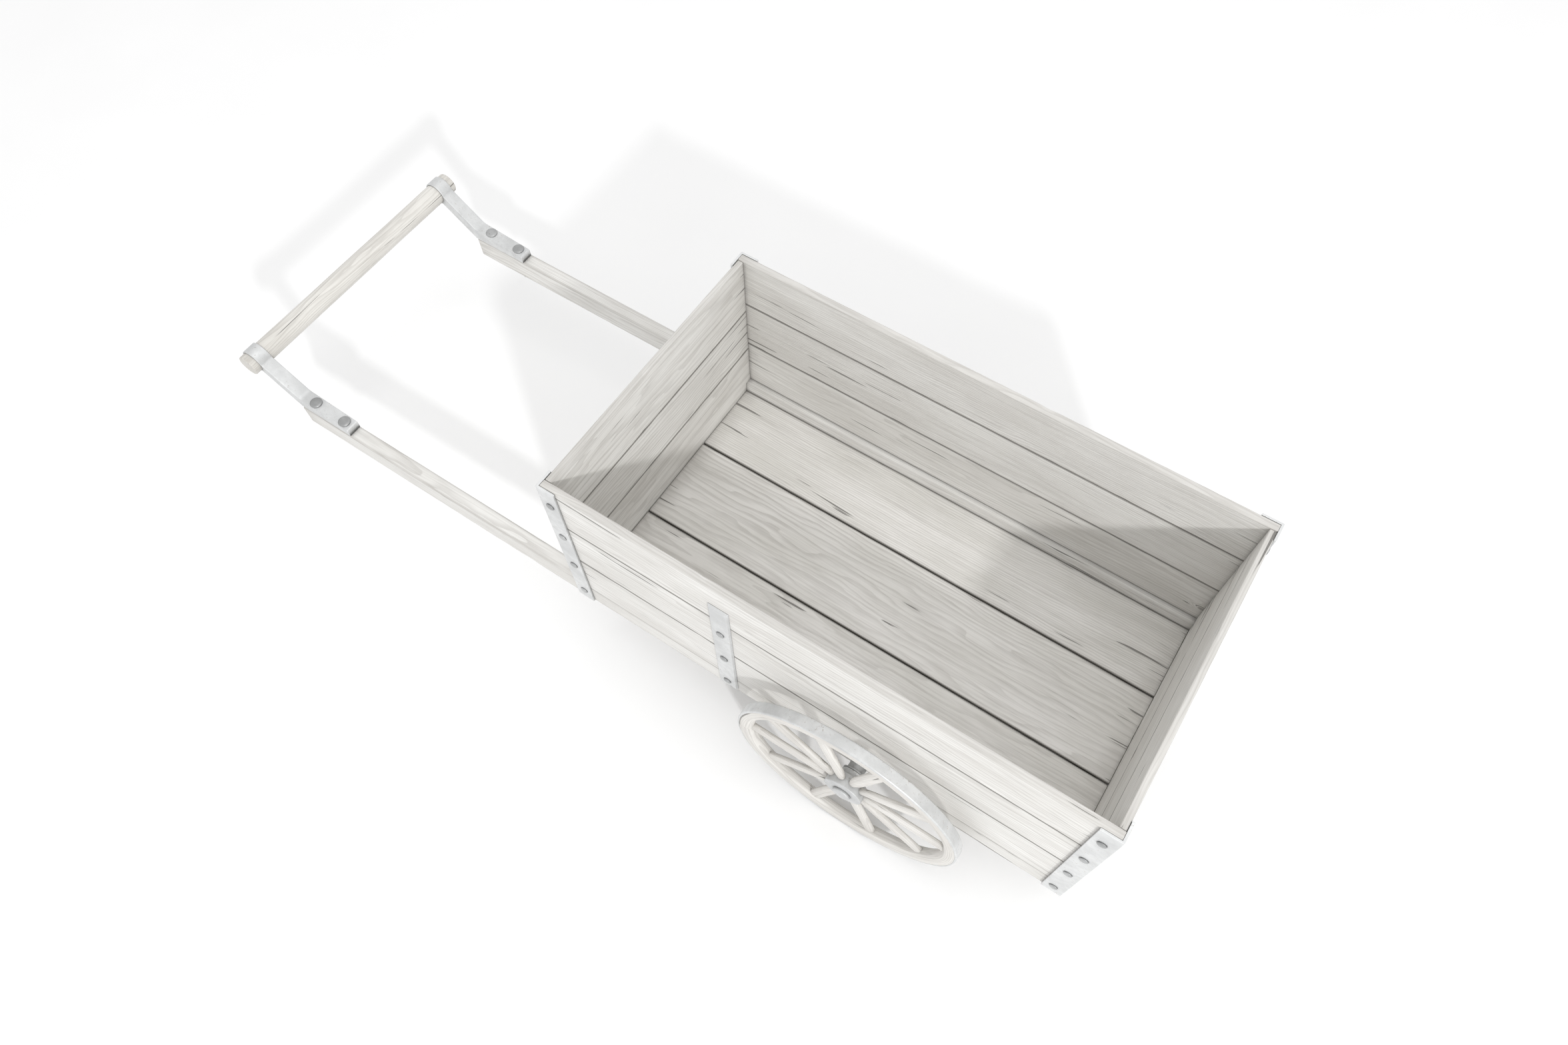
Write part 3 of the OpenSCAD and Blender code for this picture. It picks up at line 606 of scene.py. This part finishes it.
# a small fillet between the arm's top face and the eye
fr = 7 * MM
fc_off = off_hi + fr
fc = bc + an * fc_off + ad * math.sqrt((EYE + fr) ** 2 - fc_off ** 2)
f_end = bc + (fc - bc).normalized() * EYE
f_start = fc - an * fr
ang0 = math.atan2(*(reversed(f_start - fc)))
ang1 = math.atan2(*(reversed(f_end - fc)))
if ang1 > ang0:
    ang1 -= 2 * math.pi
fillet = circle_from(fc, fr, ang0, ang1, 6)
e0 = math.atan2(*(reversed(f_end - bc)))
e1 = base + math.asin(off_lo / EYE)
if e1 < e0:
    e1 += 2 * math.pi
eye_arc = circle_from(bc, EYE, e0, e1, 48)
b0 = math.atan2(*(reversed((bend_p + bv * bl) - bcen)))
b1 = math.atan2(*(reversed((bend_p + bu * bl) - bcen)))
if b1 > b0:
    b1 -= 2 * math.pi
bend = circle_from(bcen, bend_r, b0, b1, 10)
outline = [Vector((foot_front, SHAFT_TOP))]
outline += [Vector((foot_front - 4 * MM + 4 * MM * math.cos(a), top0 - 4 * MM + 4 * MM * math.sin(a))) for a in [math.radians(x) for x in range(0, 91, 18)]]
outline += bend + fillet + eye_arc[1:] + [Vector((heel_x, SHAFT_TOP))]
clean = [outline[0]]
for p in outline[1:]:
    if (p - clean[-1]).length > 2e-5:
        clean.append(p)
outline = clean


def bracket(side):
    s = 1 if side == "left" else -1
    lo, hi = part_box("handle_bracket_" + side)
    ym, hw = (lo.y + hi.y) / 2, (hi.y - lo.y) / 2
    bm = bmesh.new()
    hole = circle_from(bc, bar_r + 0.02 * MM, 0, 2 * math.pi, 64)[:-1]
    bev = 1.6 * MM
    # rings from one side face to the other, the edge rounded in between
    def ring(pts, y, inset, closed_hole=False):
        out = []
        n = len(pts)
        for i in range(n):
            a, b, c = pts[i - 1], pts[i], pts[(i + 1) % n]
            t = ((b - a).normalized() + (c - b).normalized()).normalized()
            nrm = Vector((-t.y, t.x)) * (-1 if closed_hole else 1)
            q = b + nrm * inset
            out.append(bm.verts.new((q.x, y, q.y)))
        return out
    area2 = sum(outline[i - 1].x * outline[i].y - outline[i].x * outline[i - 1].y for i in range(len(outline)))
    pts = outline if area2 > 0 else list(reversed(outline))
    rings = []
    for k in range(5):
        a = math.radians(90 * k / 4)
        rings.append(ring(pts, ym - hw + bev * (1 - math.sin(a)), bev * (1 - math.cos(a))))
    # k = 0: at full size, one bevel in from the face; k = 4: on the face, inset
    rings = rings[::-1]
    mid = [ring(pts, ym + hw * f, 0) for f in (-0.5, 0.0, 0.5)]
    other = []
    for k in range(5):
        a = math.radians(90 * k / 4)
        other.append(ring(pts, ym + hw - bev * (1 - math.sin(a)), bev * (1 - math.cos(a))))
    allr = rings + mid + other
    for a, b in zip(allr, allr[1:]):
        for i in range(len(pts)):
            j = (i + 1) % len(pts)
            bm.faces.new((a[i], a[j], b[j], b[i]))
    hb = 0.6 * MM
    hr = [ring(hole, ym - hw, -hb), ring(hole, ym - hw + hb, 0), ring(hole, ym + hw - hb, 0), ring(hole, ym + hw, -hb)]
    for a, b in zip(hr, hr[1:]):
        for i in range(len(hole)):
            j = (i + 1) % len(hole)
            bm.faces.new((b[i], b[j], a[j], a[i]))
    # side faces: outline with the hole cut out, filled by triangles
    for outer, inner in ((allr[0], hr[0]), (allr[-1], hr[-1])):
        edges = []
        for loop in (outer, inner):
            for i in range(len(loop)):
                e = bm.edges.get((loop[i], loop[(i + 1) % len(loop)]))
                edges.append(e)
        bmesh.ops.triangle_fill(bm, edges=edges, use_beauty=True)
    add(bm, "forged_bracket_" + side, M["forged"], "frame", ["handle_bracket_" + side])


for side in ("left", "right"):
    bracket(side)

# handle bolts, washers, nuts
bolts = [(TR - b * MM, s * (Y_OUT + Y_IN) / 2) for s in (-1, 1) for b in (600.5, 675.0)]


def head_dome(r, h, low=0.35, n=7):
    """Profile of a round head from its rim up to the pole, standing on h = 0."""
    pts = [(r * 0.985, 0.0), (r, h * 0.08), (r, h * low)]
    for i in range(1, n + 1):
        a = math.radians(90.0 * i / n)
        pts.append((r * (0.60 + 0.40 * math.cos(a)), h * (low + (0.93 - low) * math.sin(a))))
    return pts + [(r * 0.45, h * 0.975), (r * 0.22, h * 0.995), (0, h)]


bm = bmesh.new()
for x, y in bolts:
    seat = foot_top(x + 12.7 * MM)
    shank = [(0, -85 * MM), (4.6 * MM, -85 * MM), (5.2 * MM, -84.2 * MM)]
    for i in range(18):
        z = -84.0 * MM + i * 1.75 * MM
        shank += [(5.2 * MM, z), (6.0 * MM, z + 0.75 * MM), (6.0 * MM, z + 1.0 * MM)]
    shank += [(6.0 * MM, -50 * MM), (6.0 * MM, 0.02 * MM)]
    spin(bm, shank + head_dome(12.5 * MM, 4.2 * MM), along((x, y, seat), (0, 0, 1)), 40, closed=False)
add(bm, "handle_bolt_set", M["steel"], "frame", ["handle_bolts"])


def ring_piece(bm, at, d, ri, ro, h0, h1, b=0.25 * MM, seg=48):
    spin(bm, [(ri, h0 + b), (ri + b, h0), (ro - b, h0), (ro, h0 + b), (ro, h1 - b), (ro - b, h1), (ri + b, h1), (ri, h1 - b)], along(at, d), seg)


def hex_nut(bm, at, d, ri, ro, h0, h1, turn=0.0):
    apothem = ro * math.cos(math.pi / 6)
    ch = ro - apothem

    def shape(r, h, a):
        if r <= ri + 1.2 * MM:
            return r
        k = (a + turn) % (math.pi / 3) - math.pi / 6
        hx = apothem / math.cos(k)
        return min(hx, r)
    c = (ro - apothem) * 0.58
    prof = [(ri, h0 + 0.6 * MM), (ri + 0.6 * MM, h0), (apothem * 0.98, h0), (apothem + (ro - apothem) * 0.45, h0 + c * 0.4), (ro + 1e-5, h0 + c),
            (ro + 1e-5, h1 - c), (apothem + (ro - apothem) * 0.45, h1 - c * 0.4), (apothem * 0.98, h1), (ri + 0.6 * MM, h1), (ri, h1 - 0.6 * MM)]
    spin(bm, prof, along(at, d), 72, shape=shape)


bm = bmesh.new()
for x, y in bolts:
    ring_piece(bm, (x, y, SHAFT_BOT), (0, 0, -1), 6.0 * MM, 10.0 * MM, 0.0, 1.5 * MM)
add(bm, "handle_washer_set", M["steel"], "frame", ["handle_washers"])
bm = bmesh.new()
for i, (x, y) in enumerate(bolts):
    hex_nut(bm, (x, y, SHAFT_BOT - 1.5 * MM), (0, 0, -1), 6.0 * MM, 10.39 * MM, 0.0, 7.0 * MM)
add(bm, "handle_nut_set", M["steel"], "frame", ["handle_nuts"])

# ---------------------------------------------------------------- flat iron
PT = 4.2 * MM


def corner_iron(side, end):
    s = 1 if side == "left" else -1
    node = "corner_bracket_%s_%s" % (end, side)
    lo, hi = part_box(node)
    yo = s * max(abs(lo.y), abs(hi.y))
    yb = yo - s * PT
    yi = yo - s * 35 * MM
    xo, xi = (lo.x, hi.x) if end == "rear" else (hi.x, lo.x)
    xb = xo + (PT if end == "rear" else -PT)
    zcut = SHAFT_TOP + 0.9 * MM
    bm = bmesh.new()

    def prism(pts, z0, z1):
        a = [bm.verts.new((x, y, z0)) for x, y in pts]
        b = [bm.verts.new((x, y, z1)) for x, y in pts]
        bm.faces.new(a[::-1])
        bm.faces.new(b)
        for i in range(len(a)):
            j = (i + 1) % len(a)
            bm.faces.new((a[i], a[j], b[j], b[i]))
    if end == "front":
        prism([(xo, yo), (xi, yo), (xi, yb), (xb, yb), (xb, yi), (xo, yi)], lo.z, hi.z)
    else:
        # the flange on the end stops above the shaft, so this is made of rings
        z0, z1, z2 = lo.z, zcut, hi.z
        P = lambda x, y, z: bm.verts.new((x, y, z))
        full = [(xo, yo), (xi, yo), (xi, yb), (xb, yb), (xb, yi), (xo, yi)]
        low = [(xo, yo), (xi, yo), (xi, yb), (xb, yb), (xo, yb)]
        top = [P(x, y, z2) for x, y in full]
        mid = {p: P(p[0], p[1], z1) for p in set(full) | set(low)}
        bot = [P(x, y, z0) for x, y in low]
        bm.faces.new(top)
        bm.faces.new(bot[::-1])
        for i in range(6):
            j = (i + 1) % 6
            a, b = full[i], full[j]
            if (a, b) == ((xo, yi), (xo, yo)):
                bm.faces.new((mid[a], mid[(xo, yb)], mid[b], top[j], top[i]))
            else:
                bm.faces.new((mid[a], mid[b], top[j], top[i]))
        for i in range(5):
            j = (i + 1) % 5
            a, b = low[i], low[j]
            if (a, b) != ((xb, yb), (xo, yb)):
                bm.faces.new((bot[i], bot[j], mid[b], mid[a]))
            else:
                bm.faces.new((bot[i], bot[j], mid[b], mid[a]))
        bm.faces.new((mid[(xb, yb)], mid[(xo, yb)], mid[(xo, yi)], mid[(xb, yi)]))
    bmesh.ops.recalc_face_normals(bm, faces=bm.faces)
    outer = lambda e: all(abs(v.co.x - xo) < 1e-5 and abs(v.co.y - yo) < 1e-5 for v in e.verts)
    bevel_where(bm, 1.5 * MM, outer, 3, 60)
    bevel_where(bm, 0.55 * MM, lambda e: True, 2, 60)
    cut(bm, 2, [lo.z + (hi.z - lo.z) * i / 24 for i in range(1, 24)])
    c = (lo + hi) / 2
    for v in bm.verts:
        k = 0.22 * MM * (0.5 + 0.5 * noise.noise(Vector((v.co.x * 20, v.co.y * 20, v.co.z * 22))))
        if abs(v.co.y - yo) < 1e-5:
            v.co.y -= s * k
        if abs(v.co.x - xo) < 1e-5:
            v.co.x += k if end == "rear" else -k
    add(bm, "corner_iron_%s_%s" % (end, side), M["iron"], "frame", [node])


for end in ("rear", "front"):
    for side in ("left", "right"):
        corner_iron(side, end)

for side in ("left", "right"):
    s = 1 if side == "left" else -1
    node = "mid_strap_" + side
    lo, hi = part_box(node)
    yo = s * max(abs(lo.y), abs(hi.y))
    yb = yo - s * PT
    c3 = 3.0 * MM
    bm = bmesh.new()
    a = [bm.verts.new(p) for p in ((lo.x, yb, lo.z), (hi.x, yb, lo.z), (hi.x, yb, hi.z), (lo.x, yb, hi.z))]
    b = [bm.verts.new(p) for p in ((lo.x + c3, yo, lo.z + c3), (hi.x - c3, yo, lo.z + c3), (hi.x - c3, yo, hi.z - c3), (lo.x + c3, yo, hi.z - c3))]
    bm.faces.new(a)
    bm.faces.new(b)
    for i in range(4):
        j = (i + 1) % 4
        bm.faces.new((a[i], a[j], b[j], b[i]))
    bmesh.ops.recalc_face_normals(bm, faces=bm.faces)
    bevel_where(bm, 0.7 * MM, lambda e: True, 2, 20)
    cut(bm, 2, [lo.z + (hi.z - lo.z) * i / 22 for i in range(1, 22)])
    for v in bm.verts:
        if abs(v.co.y - yo) < 1e-5:
            v.co.y -= s * 0.22 * MM * (0.5 + 0.5 * noise.noise(Vector((v.co.x * 20, s * 4, v.co.z * 22))))
    add(bm, "side_strap_" + side, M["iron"], "frame", [node])

# screws
ROWS = [229.1 * MM, 335.3 * MM, 441.4 * MM, 547.6 * MM]
LEN = 1000 * MM


def screw_at(bm, at, d):
    prof = [(0, -15 * MM), (1.2 * MM, -15 * MM), (2.5 * MM, -12 * MM), (2.5 * MM, 0.02 * MM)] + head_dome(7.6 * MM, 3.0 * MM, low=0.42)
    spin(bm, prof, along(at, d), 32, closed=False)


bm = bmesh.new()
for s in (-1, 1):
    for z in ROWS:
        for x in (15.5 * MM, LEN - 15.5 * MM):
            screw_at(bm, (TR + x, s * (Y_OUT + PT), z), (0, s, 0))
add(bm, "side_screw_set", M["steel"], "frame", ["side_flange_screws"])
bm = bmesh.new()
for s in (-1, 1):
    for z in ROWS:
        screw_at(bm, (TR + LEN + PT, s * 262 * MM, z), (1, 0, 0))
    for z in ROWS[1:]:
        screw_at(bm, (TR - PT, s * 262 * MM, z), (-1, 0, 0))
add(bm, "end_screw_set", M["steel"], "frame", ["end_flange_screws"])
bm = bmesh.new()
for s in (-1, 1):
    for z in ROWS[:3]:
        screw_at(bm, (TR + 340 * MM, s * (Y_OUT + PT), z), (0, s, 0))
add(bm, "strap_screw_set", M["steel"], "frame", ["strap_screws"])

# ---------------------------------------------------------------- wheels
def wheel(side):
    s = 1 if side == "left" else -1
    body = "wheel_" + side
    lo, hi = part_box("tyre_" + side)
    cx, cz = (lo.x + hi.x) / 2, (lo.z + hi.z) / 2
    R = (hi.x - lo.x) / 2
    wy = (lo.y + hi.y) / 2
    hw = (hi.y - lo.y) / 2
    at = Vector((cx, wy, cz))
    pl = along(at, (0, s, 0))

    # tyre
    bm = bmesh.new()
    prof = [(R - 4 * MM, -hw + 0.3 * MM), (R - 3.7 * MM, -hw)]
    rr = 2.6 * MM
    prof += [(R - rr + rr * math.sin(math.radians(a)), -hw + rr * (1 - math.cos(math.radians(a)))) for a in range(0, 91, 15)]
    prof += [(R, 0)]
    prof += [(r, -h) for r, h in reversed(prof[:-1])]

    def tyre_shape(r, h, a):
        if r < R - 3.5 * MM:
            return r
        q = Vector((math.cos(a) * 6, math.sin(a) * 6, h * 60))
        return r - 0.18 * MM * (0.5 + 0.5 * noise.noise(q))
    spin(bm, prof, pl, 200, shape=tyre_shape)
    add(bm, "iron_tyre_" + side, M["tyre"], body, ["tyre_" + side])

    # felloe, grain round the rim
    bm = bmesh.new()
    f0 = R - 4 * MM
    half = [(f0, 0.0), (f0, -hw + 0.4 * MM), (f0 - 0.5 * MM, -hw), (R - 17 * MM, -hw), (198.9 * MM, -hw), (197.6 * MM, -hw + 0.25 * MM),
            (196.0 * MM, -hw + 0.75 * MM), (194.4 * MM, -hw + 1.6 * MM), (192.8 * MM, -hw + 2.9 * MM), (191.4 * MM, -hw + 4.6 * MM), (190.3 * MM, -hw + 6.8 * MM), (189.7 * MM, -hw + 8.9 * MM)]
    prof = half + [(189.5 * MM, 0)] + [(r, -h) for r, h in reversed(half[1:])]
    rs = random.Random(side)
    ox, oy = rs.uniform(-5, 5), rs.uniform(-0.4, 0.4)

    def rim_shape(r, h, a):
        if r > 205 * MM:
            return r
        return r + 0.15 * MM * noise.noise(Vector((math.cos(a) * 5, math.sin(a) * 5, 3 + s)))
    spin(bm, prof, pl, 200, shape=rim_shape)

    def rim_map(co, pc):
        th0 = math.atan2(pc.z - cz, pc.x - cx)
        th = math.atan2(co.z - cz, co.x - cx)
        d = (th - th0 + math.pi) % (2 * math.pi) - math.pi
        r = math.hypot(co.x - cx, co.z - cz)
        g = ((th0 + d) * 0.2 + ox, r - 0.2 + oy, co.y - wy)
        return g, (0.2, min(max(0.0, 0.0145 - abs(r - 0.203)), 0.02) + 0.003, 0.05)
    add(bm, "bent_felloe_" + side, M["wheel"], body, ["felloe_" + side], mapping=rim_map)

    # spokes
    bm = bmesh.new()
    N = 10
    A, B, neck, root = 11.7 * MM, 5.85 * MM, 62 * MM, 6.6 * MM
    stations = [33.6, 36.5, 40, 44, 48, 52, 56, 59, 62, 65, 70, 78] + [78 + 10 * i for i in range(1, 12)] + [193, 197]
    spoke_faces = {}

    def width(r):
        t = max(0.0, min(1.0, (r - 0.0325) / (neck - 0.0325)))
        w = root + (A - root) * t
        k = max(0.0, 1 - abs(r - neck) / 0.008)
        return min(A, w) - 0.5 * MM * k * k
    for i in range(N):
        a = 2 * math.pi * i / N
        u, v = Vector((math.cos(a), 0, math.sin(a))), Vector((-math.sin(a), 0, math.cos(a)))
        rings = []
        for r in stations:
            rm = r * MM
            w = width(rm)
            ring = []
            for k in range(28):
                t = 2 * math.pi * k / 28
                cb = math.copysign(abs(math.cos(t)) ** 0.86, math.cos(t))
                sb = math.copysign(abs(math.sin(t)) ** 0.86, math.sin(t))
                j = 0.12 * MM * noise.noise(Vector((rm * 40, i * 3.1, k * 0.6)))
                q = u * rm + v * ((w - abs(j)) * sb) + Vector((0, 1, 0)) * ((B - abs(j)) * cb)
                ring.append(bm.verts.new(at + q))
            rings.append(ring)
        for ra, rb in zip(rings, rings[1:]):
            for k in range(28):
                m = (k + 1) % 28
                bm.faces.new((ra[k], ra[m], rb[m], rb[k]))
        bm.faces.new(rings[0][::-1])
        bm.faces.new(rings[-1])

    def spoke_map(co, pc):
        a = round(math.atan2(pc.z - cz, pc.x - cx) / (2 * math.pi / N)) * 2 * math.pi / N
        d = Vector((co.x - cx, 0, co.z - cz))
        r = d.x * math.cos(a) + d.z * math.sin(a)
        t = -d.x * math.sin(a) + d.z * math.cos(a)
        k = round(a / (2 * math.pi / N))
        return (r + k * 1.73 + ox, t + 0.07 * k, co.y - wy), (max(0.0, min(r - 0.0365, 0.196 - r)), 0.02, 0.05)
    add(bm, "shaved_spokes_" + side, M["wheel"], body, ["spokes_" + side], mapping=spoke_map)

    # hub
    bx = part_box("hub_" + side)
    yin, yout = sorted((abs(bx[0].y), abs(bx[1].y)))
    hp = along((cx, 0, cz), (0, s, 0))
    dr, br = 36.5 * MM, 21.4 * MM
    din = abs(wy) - 11 * MM
    bm = bmesh.new()
    prof = [(13 * MM, yin), (br - 1.2 * MM, yin), (br - 0.35 * MM, yin + 0.35 * MM), (br, yin + 1.2 * MM), (br, din - 6.5 * MM)]
    prof += [(br + 5 * MM - 5 * MM * math.cos(math.radians(a)), din - 5 * MM + 5 * MM * math.sin(math.radians(a)) - 1.2 * MM * (1 - a / 90)) for a in range(0, 91, 15)]
    prof += [(dr - 2 * MM + 2 * MM * math.sin(math.radians(a)), din + 2 * MM - 2 * MM * math.cos(math.radians(a))) for a in range(0, 91, 18)]
    prof += [(dr - 2 * MM + 2 * MM * math.cos(math.radians(a)), yout - 2 * MM + 2 * MM * math.sin(math.radians(a))) for a in range(0, 91, 18)]
    prof += [(24 * MM, yout), (17.4 * MM, yout), (15 * MM, yout), (15 * MM, 332.7 * MM), (13 * MM, 332.7 * MM)]
    spin(bm, prof, hp, 96)
    add(bm, "cast_hub_" + side, M["cast"], body, ["hub_" + side])

    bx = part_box("hub_cap_" + side)
    cout = max(abs(bx[0].y), abs(bx[1].y))
    bm = bmesh.new()
    prof = [(0, yout + 2.5 * MM), (13 * MM, yout + 2.5 * MM), (13 * MM, yout - 2 * MM), (15 * MM, yout - 2 * MM), (15 * MM, yout), (16.6 * MM, yout), (17 * MM, yout + 0.4 * MM), (17 * MM, yout + 2.9 * MM)]
    prof += [(14.2 * MM + 2.8 * MM * math.cos(math.radians(a)), yout + 3.0 * MM + (cout - yout - 3.2 * MM) * math.sin(math.radians(a))) for a in range(12, 91, 13)]
    prof += [(12 * MM, cout - 0.05 * MM), (6 * MM, cout), (0, cout)]
    spin(bm, prof, hp, 64, closed=False)
    add(bm, "dust_cap_" + side, M["cast"], body, ["hub_cap_" + side])


for side in ("left", "right"):
    wheel(side)

# what stays as packed: stub axles, washers, bush, floor screws, grub screws
for n, ob in nodes.items():
    ob.data.materials.clear()
    ob.data.materials.append(M["bronze"] if n.startswith("hub_bush") else M["steel"])
    if n in REPLACED:
        continue
    w = ob.modifiers.new("weld", "WELD")
    w.merge_threshold = 1e-6
    b = ob.modifiers.new("soft edge", "BEVEL")
    b.width, b.segments, b.limit_method, b.angle_limit = 0.25 * MM, 2, "ANGLE", math.radians(35)
    e = ob.modifiers.new("even", "WEIGHTED_NORMAL")
    e.keep_sharp = True
    ob.data.polygons.foreach_set("use_smooth", [True] * len(ob.data.polygons))

# ---------------------------------------------------------------- light
scene.view_settings.view_transform = "Standard"
scene.view_settings.look = "None"
scene.view_settings.exposure = -0.12
world = bpy.data.worlds.new("studio")
scene.world = world
world.use_nodes = True
world.node_tree.nodes["Background"].inputs[0].default_value = (1.0, 1.0, 1.0, 1)
world.node_tree.nodes["Background"].inputs[1].default_value = 0.97


def area(name, where, target, size, power):
    l = bpy.data.lights.new(name, "AREA")
    l.shape = "DISK"
    l.size = size
    l.energy = power
    ob = bpy.data.objects.new(name, l)
    scene.collection.objects.link(ob)
    ob.location = where
    ob.rotation_mode = "QUATERNION"
    ob.rotation_quaternion = (Vector(target) - Vector(where)).to_track_quat("-Z", "Y")
    return ob


key = Vector((1.1, -1.0, 1.0)).normalized()
area("key", Vector((0.4, 0, 0.4)) + key * 6.0, (0.4, 0, 0.4), 0.35, 150)
area("overhead", (0.35, -0.1, 4.6), (0.35, 0, 0.3), 3.0, 36)

# floor
fm = Tree("pale_floor")
fp = fm.n("ShaderNodeTexCoord").outputs["Object"]
fn = fm.noise(fp, 3.0, 3.0, 0.5)
fm.link(fm.mix(fn, (0.90, 0.90, 0.90), (0.94, 0.94, 0.94)), fm.bsdf.inputs["Base Color"])
fm.bsdf.inputs["Roughness"].default_value = 0.9
me = bpy.data.meshes.new("floor")
s = 14.0
me.from_pydata([(-s, -s, 0), (s, -s, 0), (s, s, 0), (-s, s, 0)], [], [(0, 1, 2, 3)])
floor = bpy.data.objects.new("floor", me)
scene.collection.objects.link(floor)
me.materials.append(fm.mat)
floor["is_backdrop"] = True

lo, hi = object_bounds()
